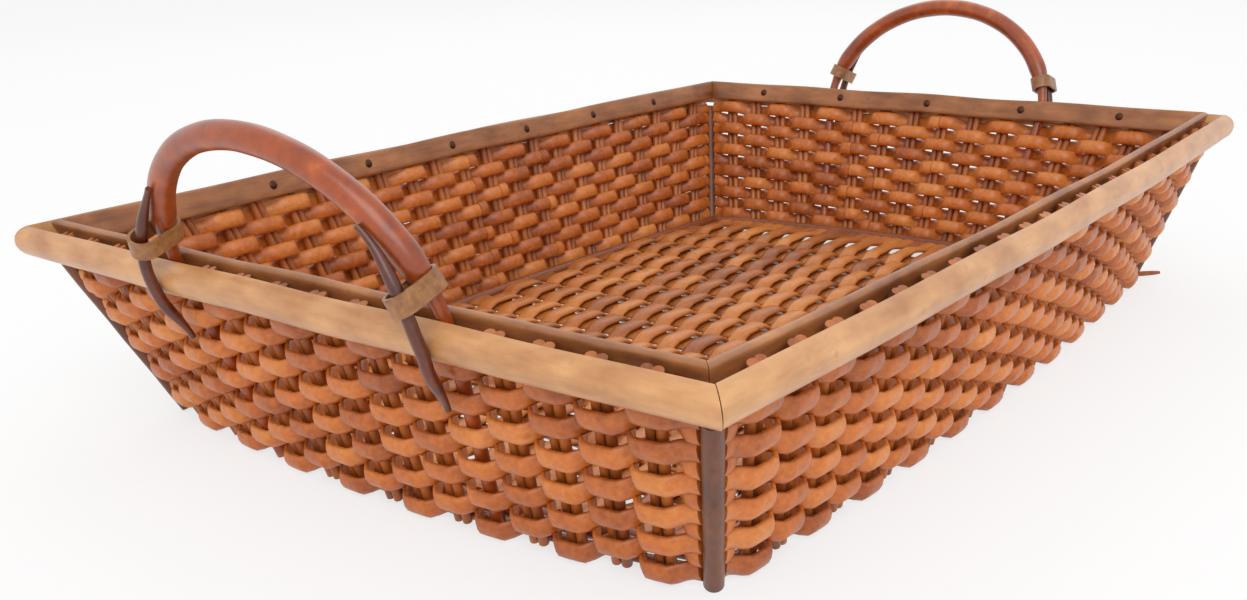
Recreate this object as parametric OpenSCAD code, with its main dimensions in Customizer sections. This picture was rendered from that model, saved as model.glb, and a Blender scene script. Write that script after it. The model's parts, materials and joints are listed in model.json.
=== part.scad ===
// Shallow rectangular willow basket with flared walls, a pale half-round rim
// and a bent rod handle on each short end. Millimetres, Z up, origin in the
// middle of the footprint at ground level. X runs along the length.

/* [Rim] */
// Overall length over the outer rim laths
rim_len = 512; // [460:2:600]
// Overall width over the outer rim laths
rim_wid = 360; // [320:2:440]
// Height of the middle of the rim laths above the ground
rim_z = 83; // [70:1:110]
// How far the middle of a short rim lath bows outward
rim_end_bow = 2; // [0:0.5:5]
// How far the middle of a long rim lath bows outward
rim_side_bow = 5; // [0:0.5:8]
// Radius of the half-round outer rim lath
outer_lath_r = 7; // [5:0.5:9]
// Height of the flat inner rim lath
inner_lath_h = 12; // [8:0.5:14]
// Thickness of the flat inner rim lath
inner_lath_t = 3.6; // [2.5:0.1:5]
// Diameter of a tack head on the inner laths
tack_d = 4.4; // [3:0.2:6]

/* [Footprint] */
// Length of the line of stakes at ground level, at the corners
foot_len = 412; // [380:2:440]
// Width of the line of stakes at ground level, at the corners
foot_wid = 278; // [250:2:300]
// How far the foot of a short wall bows outward
foot_end_bow = 14; // [4:0.5:18]
// How far the foot of a long wall bows outward
foot_side_bow = 9; // [3:0.5:14]

/* [Wall weave] */
// Diameter of a wall stake
stake_d = 5; // [4:0.2:6]
// Spacing of the stakes at the rim, before it is evened out along each wall
stake_pitch = 20; // [17:0.5:26]
// Diameter of a corner post
corner_post_d = 7; // [5:0.5:9]
// Thickness of a wall weaver, measured out of the wall
weaver_t = 4; // [3:0.1:4.6]
// Gap between one row of weavers and the next
row_gap = 0.6; // [0.4:0.1:1.2]

/* [Base] */
// Diameter of the bars that frame the base
base_bar_d = 7; // [5:0.5:8]
// Diameter of the thin rods that close the foot of the walls inside
foot_rod_d = 3.8; // [3:0.2:4.4]
// Diameter of a cross stick of the base
cross_stick_d = 5; // [4:0.2:6]
// Width of a base weaver
base_weaver_w = 6.8; // [5:0.2:9]
// Thickness of a base weaver
base_weaver_t = 2.6; // [2:0.1:3.4]
// Gap between one base weaver and the next
base_weaver_gap = 0.6; // [0.4:0.1:1.5]
// Length of a base weaver that lies flat under or over a stick
base_flat = 8; // [5:0.5:10]

/* [Handles] */
// Distance between the two legs of a handle at the rim
handle_span = 140; // [110:2:170]
// Rise of a handle's middle over the middle of the rim, along its lean
handle_rise = 62; // [45:1:80]
// Diameter of the handle rod
handle_d = 10; // [8:0.5:13]
// Diameter of the strand that crosses the rim on the outside
strand_d = 4.4; // [3:0.2:5.5]
// How far up the handle the strand reaches
strand_rise = 40; // [34:1:46]
// How far below the outer lath the strand is tucked
strand_tuck = 17; // [12:1:24]
// Height of the binding that ties the strand to the handle
binding_h = 7; // [4:0.5:9]
// Wall of the binding
binding_t = 1.2; // [0.8:0.1:2]

/* [Loose end] */
// Length of the weaver tip that sticks out at one foot corner
loose_tip_len = 17; // [10:1:24]
// Diameter of that tip
loose_tip_d = 2.8; // [2:0.2:3.4]

/* [Hidden] */
// Each row and each cross stick is a node of its own, so their numbers are fixed
row_count = 11;
cross_stick_count = 13;
// Seating gap between pieces that bear on each other
seat = 0.15;
// Clearance of a weaver as it slants past a stake
slant_clear = 0.3;
// Flat pieces of the base lie on the ground, and the wall stays this far above it
ground_clear = 0.4;
// Outward lean of the short and long walls
end_tilt = 21.5;
side_tilt = 18.5;
fine = 32;

// Where a stake starts above the ground and ends above the middle of the laths
stake_foot = 2;
stake_head = 4;

stake_r = stake_d / 2;
bar_r = base_bar_d / 2;
stick_r = cross_stick_d / 2;
// The laths clear the stakes, whose own lean differs a little from theirs
lath_gap = stake_r + 0.55;

function lerp(a, b, t) = a + (b - a) * t;
function smooth(t) = let (c = min(1, max(0, t))) c * c * (3 - 2 * c);
function unit(v) = v / norm(v);
// 0 at both corners of a wall and 1 in its middle
function bow(u) = 4 * u * (1 - u);

top_len = rim_len - 2 * (outer_lath_r + lath_gap * cos(end_tilt) + rim_end_bow);
top_wid = rim_wid - 2 * (outer_lath_r + lath_gap * cos(side_tilt) + rim_side_bow);
function half_len(z) = lerp(foot_len, top_len, z / rim_z) / 2;
function half_wid(z) = lerp(foot_wid, top_wid, z / rim_z) / 2;
function end_bow(z) = lerp(foot_end_bow, rim_end_bow, z / rim_z);
function side_bow(z) = lerp(foot_side_bow, rim_side_bow, z / rim_z);

// A wall point. u runs along the wall from corner to corner, z is the height on
// the line of stakes, and a is the distance out of the wall, positive outside.
// With mitre 1 the point also moves along the wall at the corners, so that two
// walls' pieces meet on the diagonal.
function end_point(u, z, a, mitre = 0) =
    [half_len(z) + end_bow(z) * bow(u) + a * cos(end_tilt),
     (2 * u - 1) * (half_wid(z) + mitre * a * cos(side_tilt)),
     z - a * sin(end_tilt)];
function side_point(u, z, a, mitre = 0) =
    [(2 * u - 1) * (half_len(z) + mitre * a * cos(end_tilt)),
     half_wid(z) + side_bow(z) * bow(u) + a * cos(side_tilt),
     z - a * sin(side_tilt)];
function wall_point(is_end, u, z, a, mitre = 0) =
    is_end ? end_point(u, z, a, mitre) : side_point(u, z, a, mitre);
function tilt(is_end) = is_end ? end_tilt : side_tilt;
// The height on the line of stakes whose point at offset a lies at height z
function level(is_end, z, a) = z + a * sin(tilt(is_end));
function wall_len(is_end, z) = 2 * (is_end ? half_wid(z) : half_len(z));

// Stakes stand at even places. On a short wall two of the places are the legs
// of the handle, and the stakes are spread between them and out to the corners.
leg_u = 0.5 - handle_span / 2 / top_wid;
mid_spaces = round(handle_span / stake_pitch);
outer_spaces = round((top_wid - handle_span) / 2 / stake_pitch);
side_spaces = round(top_len / stake_pitch);
end_places = [
    for (i = [1:outer_spaces]) leg_u * i / outer_spaces,
    for (i = [1:mid_spaces]) lerp(leg_u, 1 - leg_u, i / mid_spaces),
    for (i = [1:outer_spaces - 1]) lerp(1 - leg_u, 1, i / outer_spaces)];
side_places = [for (i = [1:side_spaces - 1]) i / side_spaces];
function places(is_end) = is_end ? end_places : side_places;
function is_leg(u) = abs(abs(u - 0.5) - (0.5 - leg_u)) < 0.001;

// A weaver bends round each stake. Its offset leaves room for the slant.
foot_pitch = foot_len / side_spaces;
function offset_for(d) = (stake_r + slant_clear) * sqrt(1 + pow(2 * d / foot_pitch, 2)) + weaver_t / 2;
weaver_off = offset_for(offset_for(offset_for(stake_r + weaver_t)));
wall_out = weaver_off + weaver_t / 2;

// Rows fill the wall from just above the ground to just under the laths
rows_low = ground_clear + wall_out * sin(end_tilt);
rows_high = rim_z - (outer_lath_r + seat) * cos(side_tilt);
row_pitch = (rows_high - rows_low) / row_count;
weaver_h = row_pitch - row_gap;
function row_z(k) = rows_low + (k + 0.5) * row_pitch;

// Base frame and cross sticks
base_off = base_weaver_t / 2 + stick_r + seat / 2;
base_z = base_off + base_weaver_t / 2;
bar_z = bar_r + 1;
bar_a = -(wall_out + bar_r + seat);
foot_rod_a = -(stake_r + foot_rod_d / 2 + seat);
foot_rod_z = foot_rod_d / 2 + seat;
bar_in = bar_a - bar_r - seat;
inner_x = end_point(0, level(true, bar_z, bar_in), bar_in).x;
inner_y = side_point(0, level(false, bar_z, bar_in), bar_in).y;
stick_pitch = 2 * inner_x / (cross_stick_count + 1);
stick_mid = (cross_stick_count - 1) / 2;
base_pitch = base_weaver_w + base_weaver_gap;

// The handle leans with the wall at its legs
leg_top = end_point(leg_u, rim_z, 0);
leg_foot = end_point(leg_u, 0, 0);
handle_lean = atan2(leg_top.x - leg_foot.x, rim_z);
lean_out = [cos(handle_lean), 0, -sin(handle_lean)];
lean_up = [sin(handle_lean), 0, cos(handle_lean)];
// The rod is slim between the laths and reaches its full size above them
slim_over_lath = 2;
swell_len = 19;
binding_over_slim = 9;
slim_to = outer_lath_r + slim_over_lath;
full_from = slim_to + swell_len;
binding_at = slim_to + binding_over_slim;

// Joins rings of points into one closed solid
module skin(rings) {
    n = len(rings[0]);
    m = len(rings);
    sides = [for (i = [0:m - 2]) for (j = [0:n - 1])
        let (a = i * n + j, b = i * n + (j + 1) % n)
        each [[a, b, b + n], [a, b + n, a + n]]];
    caps = [[for (j = [n - 1:-1:0]) j], [for (j = [0:n - 1]) (m - 1) * n + j]];
    polyhedron(points = [for (r = rings) each r], faces = concat(sides, caps), convexity = 10);
}

// A round rod that follows a path, with a radius for each of its points
module tube(path, radii, sides, ref) {
    last = len(path) - 1;
    skin([for (i = [0:last])
        let (t = unit(path[min(last, i + 1)] - path[max(0, i - 1)]),
             n1 = unit(cross(ref, t)),
             n2 = cross(t, n1))
        [for (j = [0:sides - 1]) let (w = -360 * j / sides)
            path[i] + radii[i] * (n1 * cos(w) + n2 * sin(w))]]);
}

// A straight rod from p to q
module rod(p, q, r) {
    v = q - p;
    translate(p)
        rotate([0, acos(v.z / norm(v)), atan2(v.y, v.x)])
            cylinder(h = norm(v), r = r, $fn = fine);
}

// The four walls: a short wall is drawn at +X and a long one at +Y, and mirrored
module at_wall(is_end, low) {
    mirror(is_end ? [low ? 1 : 0, 0, 0] : [0, low ? 1 : 0, 0]) children();
}

// Sweeps a profile of [out, up] points along one wall, mitred at its corners.
// The rings of a long wall run the other way round, so both face outward.
module wall_sweep(is_end, z, profile, steps) {
    gap = seat / wall_len(is_end, z);
    order = is_end ? [0:len(profile) - 1] : [len(profile) - 1:-1:0];
    skin([for (i = [0:steps])
        let (u = lerp(gap, 1 - gap, i / steps))
        [for (j = order) let (p = profile[j])
            wall_point(is_end, u, z + p[1] * cos(tilt(is_end)), p[0], 1)]]);
}

half_round = [for (i = [0:8]) let (w = 90 - 22.5 * i)
    [lath_gap + outer_lath_r * cos(w), outer_lath_r * sin(w)]];

edge = inner_lath_t / 3;
flat_strip = [for (c = [[-1, 1], [1, 1], [1, -1], [-1, -1]]) let (first = c[0] * c[1] < 0)
    each [for (s = first ? [0, 1] : [1, 0])
        [-lath_gap - inner_lath_t / 2 + c[0] * (inner_lath_t / 2 - s * edge),
         c[1] * (inner_lath_h / 2 - (1 - s) * edge)]]];

module outer_lath(is_end, low) {
    color("wheat") at_wall(is_end, low) wall_sweep(is_end, rim_z, half_round, 8);
}

module inner_lath(is_end, low) {
    color("tan") at_wall(is_end, low) wall_sweep(is_end, rim_z, flat_strip, 8);
}

// Domed tack heads on the inner laths, midway between stakes, at every third one
tack_gap = 0.05;
dome_r = tack_d * 0.72;
module rim_tacks() {
    color("dimgray")
    for (is_end = [true, false]) for (low = [true, false]) {
        row = places(is_end);
        for (i = [1:3:len(row) - 2]) at_wall(is_end, low) {
            p = wall_point(is_end, (row[i] + row[i + 1]) / 2, rim_z, -lath_gap - inner_lath_t - tack_gap);
            translate(p)
                rotate(is_end ? [0, -90 + end_tilt, 0] : [90 - side_tilt, 0, 0])
                    intersection() {
                        cylinder(h = tack_d, d = tack_d, $fn = fine);
                        translate([0, 0, -tack_d / 2]) sphere(r = dome_r, $fn = fine);
                    }
        }
    }
}

// A corner post leans out along the corner and ends just under the laths
function corner_line(z) = [half_len(z), half_wid(z), z];
corner_lean = acos(unit(corner_line(rim_z) - corner_line(0)).z);
post_foot = corner_post_d / 2 * sin(corner_lean) + seat;
post_head = rows_high - corner_post_d / 2;
module corner_post(low_x, low_y) {
    color("saddlebrown")
    mirror([low_x ? 1 : 0, 0, 0]) mirror([0, low_y ? 1 : 0, 0])
        rod(corner_line(post_foot), corner_line(post_head), corner_post_d / 2);
}

module stakes(is_end, low) {
    color("peru") at_wall(is_end, low)
        for (u = places(is_end)) if (!(is_end && is_leg(u)))
            rod(wall_point(is_end, u, stake_foot, 0), wall_point(is_end, u, rim_z + stake_head, 0), stake_r);
}

// One row of a wall is two weavers that meet behind a stake near the middle.
// Each bends in front of one stake and behind the next.
module wall_weavers(is_end, k) {
    row = places(is_end);
    z = row_z(k);
    mid = floor(len(row) / 2) + [0, 2, -1, 1][k % 4];
    join = (mid + k) % 2 == 1 ? mid : mid + 1;
    end_gap = (corner_post_d / 2 + 2 * seat) / wall_len(is_end, z);
    join_gap = seat / wall_len(is_end, z);
    offsets = [for (i = [0:len(row) - 1]) (i + k) % 2 == 1 ? -weaver_off : weaver_off];
    first = concat([[end_gap, 0]], [for (i = [0:join - 1]) [row[i], offsets[i]]],
                   [[row[join] - join_gap, offsets[join]]]);
    second = concat([[row[join] + join_gap, offsets[join]]],
                    [for (i = [join + 1:1:len(row) - 1]) [row[i], offsets[i]]],
                    [[1 - end_gap, 0]]);
    half_t = weaver_t / 2;
    half_h = weaver_h / 2;
    corners = [[half_t, half_h], [half_t, -half_h], [-half_t, -half_h], [-half_t, half_h]];
    order = is_end ? [0, 1, 2, 3] : [3, 2, 1, 0];
    for (rod_places = [first, second])
        skin([for (s = rod_places) [for (j = order)
            wall_point(is_end, s[0], z + corners[j][1], s[1] + corners[j][0])]]);
}

module weaver_row(k) {
    color("chocolate")
    for (is_end = [true, false]) for (low = [true, false])
        at_wall(is_end, low) wall_weavers(is_end, k);
}

// A thick bar frames the base, and a thin rod beside it closes the wall's foot
function round_rod(a, r) = [for (j = [0:7]) [a + r * cos(45 * j), -r * sin(45 * j)]];
module base_rods(is_end, low) {
    color("sienna") at_wall(is_end, low) {
        wall_sweep(is_end, level(is_end, bar_z, bar_a), round_rod(bar_a, bar_r), 8);
        wall_sweep(is_end, level(is_end, foot_rod_z, foot_rod_a), round_rod(foot_rod_a, foot_rod_d / 2), 8);
    }
}

// A cross stick runs between the two long base bars
module cross_stick(i) {
    x = (i - stick_mid) * stick_pitch;
    u = (x / half_len(bar_z) + 1) / 2;
    y = inner_y + side_bow(bar_z) * bow(u) - seat;
    color("burlywood") rod([x, -y, base_z], [x, y, base_z], stick_r);
}

// A base weaver j places from the middle, over one cross stick and under the next
module base_weaver(j) {
    y = abs(j) * base_pitch + base_weaver_w / 2;
    u = (y / half_wid(bar_z) + 1) / 2;
    to_end_bar = inner_x + end_bow(bar_z) * bow(u) - seat;
    over = max(0, (y + seat - inner_y) / side_bow(bar_z));
    to_side_bar = half_len(bar_z) * sqrt(max(0, 1 - over)) - base_flat;
    reach = over > 0 ? min(to_end_bar, to_side_bar) : to_end_bar;
    sticks = [for (i = [0:cross_stick_count - 1]) let (x = (i - stick_mid) * stick_pitch)
        if (abs(x) + base_flat / 2 < reach) [x, (i - stick_mid + j) % 2 == 0 ? -base_off : base_off]];
    line = concat([[-reach, 0]],
                  [for (s = sticks) each [[s[0] - base_flat / 2, s[1]], [s[0] + base_flat / 2, s[1]]]],
                  [[reach, 0]]);
    last = len(line) - 1;
    half_t = base_weaver_t / 2;
    translate([0, j * base_pitch + base_weaver_w / 2, base_z])
        rotate([90, 0, 0])
            linear_extrude(height = base_weaver_w)
                polygon(concat([for (p = line) p + [0, half_t]],
                               [for (i = [last:-1:0]) line[i] - [0, half_t]]));
}

// The last weaver uses most of the bow of the long base bars
bow_used = 0.9;
module base_weavers(odd) {
    y_room = inner_y + side_bow(bar_z) * bow_used - seat - base_weaver_w / 2;
    n = floor(y_room / base_pitch);
    color("goldenrod") for (j = [-n:n]) if (abs(j) % 2 == (odd ? 1 : 0)) base_weaver(j);
}

// Half the span of the handle at a height above the rim, and below it the line of stakes
function handle_y(h) = h < 0
    ? -end_point(leg_u, rim_z + h * cos(handle_lean), 0).y
    : handle_span / 2 * sqrt(1 - pow(h / handle_rise, 2));
function handle_r(h) = lerp(stake_r, handle_d / 2, smooth((h - slim_to) / (full_from - slim_to)));
function handle_at(h, y, a = 0) = [leg_top.x, y, rim_z] + h * lean_up + a * lean_out;

module handle(low) {
    leg_depth = -(rim_z - stake_foot) / cos(handle_lean);
    legs = [for (i = [0:3]) leg_depth * (1 - i / 4)];
    arch = [for (i = [0:36]) let (w = 5 * i) [handle_rise * sin(w), handle_span / 2 * cos(w)]];
    line = concat([for (h = legs) [h, handle_y(h)]], arch,
                  [for (i = [3:-1:0]) [legs[i], -handle_y(legs[i])]]);
    color("brown") at_wall(true, low)
        tube([for (p = line) handle_at(p[0], p[1])], [for (p = line) handle_r(p[0])], 12, lean_out);
}

// The strand lies on the handle, crosses the rim outside and is tucked on the weave
strand_r = strand_d / 2;
strand_tip_r = strand_r * 0.5;
on_handle = handle_d / 2 + strand_r + seat;
on_lath = lath_gap + outer_lath_r + strand_r + seat;
on_weave = wall_out + strand_tip_r + 2 * seat;
strand_low = -(outer_lath_r + strand_tuck);
// The strand stays on the lath for this much above and below its middle
lath_hold = 4;
function strand_a(h) = h > lath_hold
    ? lerp(on_lath, on_handle, smooth((h - lath_hold) / (strand_rise - lath_hold)))
    : lerp(on_lath, on_weave, smooth((-lath_hold - h) / (-lath_hold - strand_low)));

module strand(low_x, low_y) {
    steps = 12;
    path = [for (i = [0:steps]) let (h = lerp(strand_low, strand_rise, i / steps))
        handle_at(h, handle_y(h), strand_a(h))];
    radii = [for (i = [0:steps]) lerp(strand_tip_r, strand_r, smooth(min(i, steps - i) / 3))];
    color("maroon") at_wall(true, low_x) mirror([0, low_y ? 1 : 0, 0])
        tube(path, radii, 8, [0, 1, 0]);
}

// A band that ties the strand to the handle just above the rim
module binding(low_x, low_y) {
    h = binding_at;
    lean_in = atan2(handle_y(h - 1) - handle_y(h + 1), 2);
    r = handle_r(h + binding_h / 2) + seat;
    reach = strand_a(h - binding_h / 2) + strand_r + 2 * seat - r;
    color("khaki") at_wall(true, low_x) mirror([0, low_y ? 1 : 0, 0])
        translate(handle_at(h, handle_y(h)))
            rotate([0, handle_lean, 0]) rotate([lean_in, 0, 0])
                linear_extrude(height = binding_h, center = true)
                    difference() {
                        slot_shape(r + binding_t, reach);
                        slot_shape(r, reach);
                    }
}

// Two circles a given distance apart, joined into one long round-ended shape
module slot_shape(r, reach) {
    circle(r = r, $fn = fine);
    translate([reach, 0]) circle(r = r, $fn = fine);
    translate([0, -r]) square([reach, 2 * r]);
}

module bindings(low_x) {
    for (low_y = [true, false]) binding(low_x, low_y);
}

// The end of a bottom weaver that was left long at the front far corner
module loose_weaver_tip() {
    z = corner_post_d / 2;
    out = unit([1, -1, 0]);
    post = [half_len(z), -half_wid(z), z];
    color("saddlebrown")
        rod(post + out * (corner_post_d / 2 + 2 * seat), post + out * loose_tip_len, loose_tip_d / 2);
}

outer_lath(true, true);  // near_end_outer_lath
outer_lath(true, false);  // far_end_outer_lath
outer_lath(false, true);  // front_outer_lath
outer_lath(false, false);  // back_outer_lath
inner_lath(true, true);  // near_end_inner_lath
inner_lath(true, false);  // far_end_inner_lath
inner_lath(false, true);  // front_inner_lath
inner_lath(false, false);  // back_inner_lath
rim_tacks();
corner_post(true, true);  // front_near_corner_post
corner_post(true, false);  // back_near_corner_post
corner_post(false, true);  // front_far_corner_post
corner_post(false, false);  // back_far_corner_post
stakes(true, true);  // near_end_stakes
stakes(true, false);  // far_end_stakes
stakes(false, true);  // front_stakes
stakes(false, false);  // back_stakes
base_rods(true, true);  // near_end_base_rods
base_rods(true, false);  // far_end_base_rods
base_rods(false, true);  // front_base_rods
base_rods(false, false);  // back_base_rods
base_weavers(true);  // odd_base_weavers
base_weavers(false);  // even_base_weavers
handle(true);  // near_handle
handle(false);  // far_handle
strand(true, true);  // near_handle_front_strand
strand(true, false);  // near_handle_back_strand
strand(false, true);  // far_handle_front_strand
strand(false, false);  // far_handle_back_strand
bindings(true);  // near_handle_bindings
bindings(false);  // far_handle_bindings
loose_weaver_tip();
for (k = [1:row_count])
    weaver_row(k - 1);
for (i = [1:cross_stick_count])
    cross_stick(i - 1);
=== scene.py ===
"""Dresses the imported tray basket: woven willow rods, rim laths, bent handles, floor and light.

All sizes are in metres, in the CAD frame: X along the length, Z up, origin in
the middle of the footprint at ground level.
"""
from __future__ import annotations

import json
import logging
import math
import random
from dataclasses import dataclass, field
from enum import Enum
from typing import Any, Sequence

import bmesh
import bpy
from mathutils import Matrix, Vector

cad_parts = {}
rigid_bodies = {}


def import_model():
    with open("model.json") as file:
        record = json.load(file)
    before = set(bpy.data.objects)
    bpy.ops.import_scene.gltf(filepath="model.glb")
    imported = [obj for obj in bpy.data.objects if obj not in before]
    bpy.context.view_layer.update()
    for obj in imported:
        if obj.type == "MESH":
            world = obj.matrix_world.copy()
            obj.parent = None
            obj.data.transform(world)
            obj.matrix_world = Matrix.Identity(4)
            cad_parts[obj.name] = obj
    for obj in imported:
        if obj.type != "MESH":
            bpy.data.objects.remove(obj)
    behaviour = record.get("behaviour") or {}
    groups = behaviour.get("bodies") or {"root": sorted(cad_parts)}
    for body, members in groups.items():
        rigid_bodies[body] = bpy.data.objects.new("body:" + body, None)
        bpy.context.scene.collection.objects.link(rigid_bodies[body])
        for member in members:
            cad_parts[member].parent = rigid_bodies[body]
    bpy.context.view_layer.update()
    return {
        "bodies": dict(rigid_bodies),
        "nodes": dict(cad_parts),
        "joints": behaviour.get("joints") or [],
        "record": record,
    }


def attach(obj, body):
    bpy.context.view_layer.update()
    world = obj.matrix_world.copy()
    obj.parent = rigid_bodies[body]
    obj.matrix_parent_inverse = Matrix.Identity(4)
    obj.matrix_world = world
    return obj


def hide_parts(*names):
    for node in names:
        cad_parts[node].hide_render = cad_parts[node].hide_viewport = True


LOG = logging.getLogger("basket")
BODY = "root"
SEED = 11
SAME_PLACE = 0.001
UP = Vector((0, 0, 1))
ALONG = Vector((1, 0, 0))
ACROSS = Vector((0, 1, 0))
Colour = tuple[float, float, float, float]
Triple = tuple[float, float, float]


def lerp(a: float, b: float, t: float) -> float:
    """The value a share t of the way from a to b."""
    return a + (b - a) * t


def smooth(t: float) -> float:
    """An eased step from 0 to 1."""
    c = min(1.0, max(0.0, t))
    return c * c * (3 - 2 * c)


def wave(t: float) -> float:
    """A half cosine from 0 to 1, the line of a rod between two stakes."""
    return (1 - math.cos(math.pi * t)) / 2


def held_wave(t: float, hold: float) -> float:
    """The same line where the rod lies flat for a share of the way at both ends."""
    return wave(min(1.0, max(0.0, (t - hold) / (1 - 2 * hold))))


def bow(u: float) -> float:
    """0 at both corners of a wall and 1 in its middle."""
    return 4 * u * (1 - u)


def rgb(r: int, g: int, b: int) -> Colour:
    """A display colour from 0 to 255 as a linear colour."""
    parts = [c / 255 for c in (r, g, b)]
    return (*(c / 12.92 if c <= 0.04045 else ((c + 0.055) / 1.055) ** 2.4 for c in parts), 1.0)


def new_object(name: str, data: Any) -> bpy.types.Object:
    """Adds an object to the scene.

    Args:
        name: its name.
        data: its mesh, light or camera.

    Returns:
        The object.
    """
    made = bpy.data.objects.new(name, data)
    bpy.context.scene.collection.objects.link(made)
    return made


def add_node(tree: bpy.types.NodeTree, kind: str, settings: dict[str, Any] | None,
             values: dict[str, Any]) -> bpy.types.Node:
    """Adds a node to a tree.

    Args:
        tree: the node tree.
        kind: the node's type.
        settings: its properties or a ramp's stops, set first.
        values: socket values or links by name, or by index as i0, i1.

    Returns:
        The node.
    """
    made = tree.nodes.new(kind)
    for key, value in (settings or {}).items():
        if key == "stops":
            ramp = made.color_ramp.elements
            while len(ramp) < len(value):
                ramp.new(0.5)
            for stop, (place, colour) in zip(ramp, value):
                stop.position, stop.color = place, colour
        else:
            setattr(made, key, value)
    for key, value in values.items():
        name = key.replace("_", " ")
        socket = (made.inputs[int(key[1:])] if key[0] == "i" and key[1:].isdigit()
                  else next(q for q in made.inputs if q.name == name and q.enabled))
        source = getattr(value, "socket", value)
        if isinstance(source, bpy.types.NodeSocket):
            tree.links.new(source, socket)
        else:
            socket.default_value = value
    return made


# The tray's shape, from the same sizes as the solids


@dataclass(frozen=True)
class Tray:
    """The driving sizes of the basket, as in the CAD source, and what follows from them."""

    rim_len: float = 0.512
    rim_wid: float = 0.360
    rim_z: float = 0.083
    rim_end_bow: float = 0.002
    rim_side_bow: float = 0.005
    outer_lath_r: float = 0.007
    inner_lath_h: float = 0.012
    inner_lath_t: float = 0.0036
    foot_len: float = 0.412
    foot_wid: float = 0.278
    foot_end_bow: float = 0.014
    foot_side_bow: float = 0.009
    stake_r: float = 0.0025
    stake_pitch: float = 0.020
    post_r: float = 0.0035
    weaver_t: float = 0.004
    row_count: int = 11
    bar_r: float = 0.0035
    bar_clear: float = 0.001
    foot_rod_r: float = 0.0019
    stick_r: float = 0.0025
    stick_count: int = 13
    base_weaver_w: float = 0.0068
    base_weaver_t: float = 0.0026
    base_weaver_gap: float = 0.0006
    base_flat: float = 0.008
    handle_span: float = 0.140
    handle_rise: float = 0.062
    handle_r: float = 0.005
    strand_r: float = 0.0022
    strand_rise: float = 0.040
    strand_tuck: float = 0.017
    tip_len: float = 0.017
    tip_r: float = 0.0014
    seat: float = 0.00015
    slant_clear: float = 0.0003
    ground_clear: float = 0.0004
    lath_clear: float = 0.00055
    slant_rounds: int = 3
    end_tilt: float = math.radians(21.5)
    side_tilt: float = math.radians(18.5)

    @property
    def lath_gap(self) -> float:
        """From the line of stakes to either lath."""
        return self.stake_r + self.lath_clear

    @property
    def top_len(self) -> float:
        """Length of the line of stakes at the rim."""
        lath = self.outer_lath_r + self.lath_gap * math.cos(self.end_tilt)
        return self.rim_len - 2 * (lath + self.rim_end_bow)

    @property
    def top_wid(self) -> float:
        """Width of the line of stakes at the rim."""
        lath = self.outer_lath_r + self.lath_gap * math.cos(self.side_tilt)
        return self.rim_wid - 2 * (lath + self.rim_side_bow)

    def half_len(self, z: float) -> float:
        """Half the length at a height."""
        return lerp(self.foot_len, self.top_len, z / self.rim_z) / 2

    def half_wid(self, z: float) -> float:
        """Half the width at a height."""
        return lerp(self.foot_wid, self.top_wid, z / self.rim_z) / 2

    def side_bow(self, z: float) -> float:
        """How far a long wall bows at a height."""
        return lerp(self.foot_side_bow, self.rim_side_bow, z / self.rim_z)

    def end_bow(self, z: float) -> float:
        """How far a short wall bows at a height."""
        return lerp(self.foot_end_bow, self.rim_end_bow, z / self.rim_z)

    @property
    def leg_u(self) -> float:
        """Where the first leg of a handle stands along a short wall."""
        return 0.5 - self.handle_span / 2 / self.top_wid

    @property
    def weaver_off(self) -> float:
        """How far a weaver's middle stands off the line of stakes.

        Returns:
            The distance at which a slanting weaver clears the stakes.
        """
        pitch = self.foot_len / round(self.top_len / self.stake_pitch)
        off = self.stake_r + self.weaver_t
        for _ in range(self.slant_rounds):
            slant = math.sqrt(1 + (2 * off / pitch) ** 2)
            off = (self.stake_r + self.slant_clear) * slant + self.weaver_t / 2
        return off

    @property
    def wall_out(self) -> float:
        """From the line of stakes to the face of the weave."""
        return self.weaver_off + self.weaver_t / 2

    @property
    def rows(self) -> tuple[float, float]:
        """The lowest and highest edge of the woven rows."""
        low = self.ground_clear + self.wall_out * math.sin(self.end_tilt)
        return low, self.rim_z - (self.outer_lath_r + self.seat) * math.cos(self.side_tilt)

    @property
    def row_pitch(self) -> float:
        """Height of one row."""
        return (self.rows[1] - self.rows[0]) / self.row_count

    def row_z(self, k: int) -> float:
        """Middle height of a row, counted from 0 at the foot."""
        return self.rows[0] + (k + 0.5) * self.row_pitch

    @property
    def base_off(self) -> float:
        """How far a base weaver's middle stands over or under the sticks' middle."""
        return self.base_weaver_t / 2 + self.stick_r + self.seat / 2

    @property
    def base_z(self) -> float:
        """Height of the sticks' middle."""
        return self.base_off + self.base_weaver_t / 2

    @property
    def base_step(self) -> float:
        """From one base weaver to the next."""
        return self.base_weaver_w + self.base_weaver_gap

    @property
    def bar_z(self) -> float:
        """Height of the middle of the base bars."""
        return self.bar_r + self.bar_clear

    @property
    def bar_a(self) -> float:
        """Offset of the base bars from the line of stakes."""
        return -(self.wall_out + self.bar_r + self.seat)

    @property
    def foot_rod_a(self) -> float:
        """Offset of the foot rods from the line of stakes."""
        return -(self.stake_r + self.foot_rod_r + self.seat)


class Choice(Enum):
    """A choice whose name is part of the names of pieces and nodes."""

    @property
    def word(self) -> str:
        """The name in small letters."""
        return self.name.lower()


class End(Choice):
    """The short ends, each with its side of the origin along X."""

    NEAR = -1
    FAR = 1


class LongWall(Choice):
    """The long walls, each with its side of the origin along Y."""

    FRONT = -1
    BACK = 1


class Side(Choice):
    """The four walls, each with (is a short wall, is on the low side)."""

    NEAR_END = (True, True)
    FAR_END = (True, False)
    FRONT = (False, True)
    BACK = (False, False)


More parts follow.
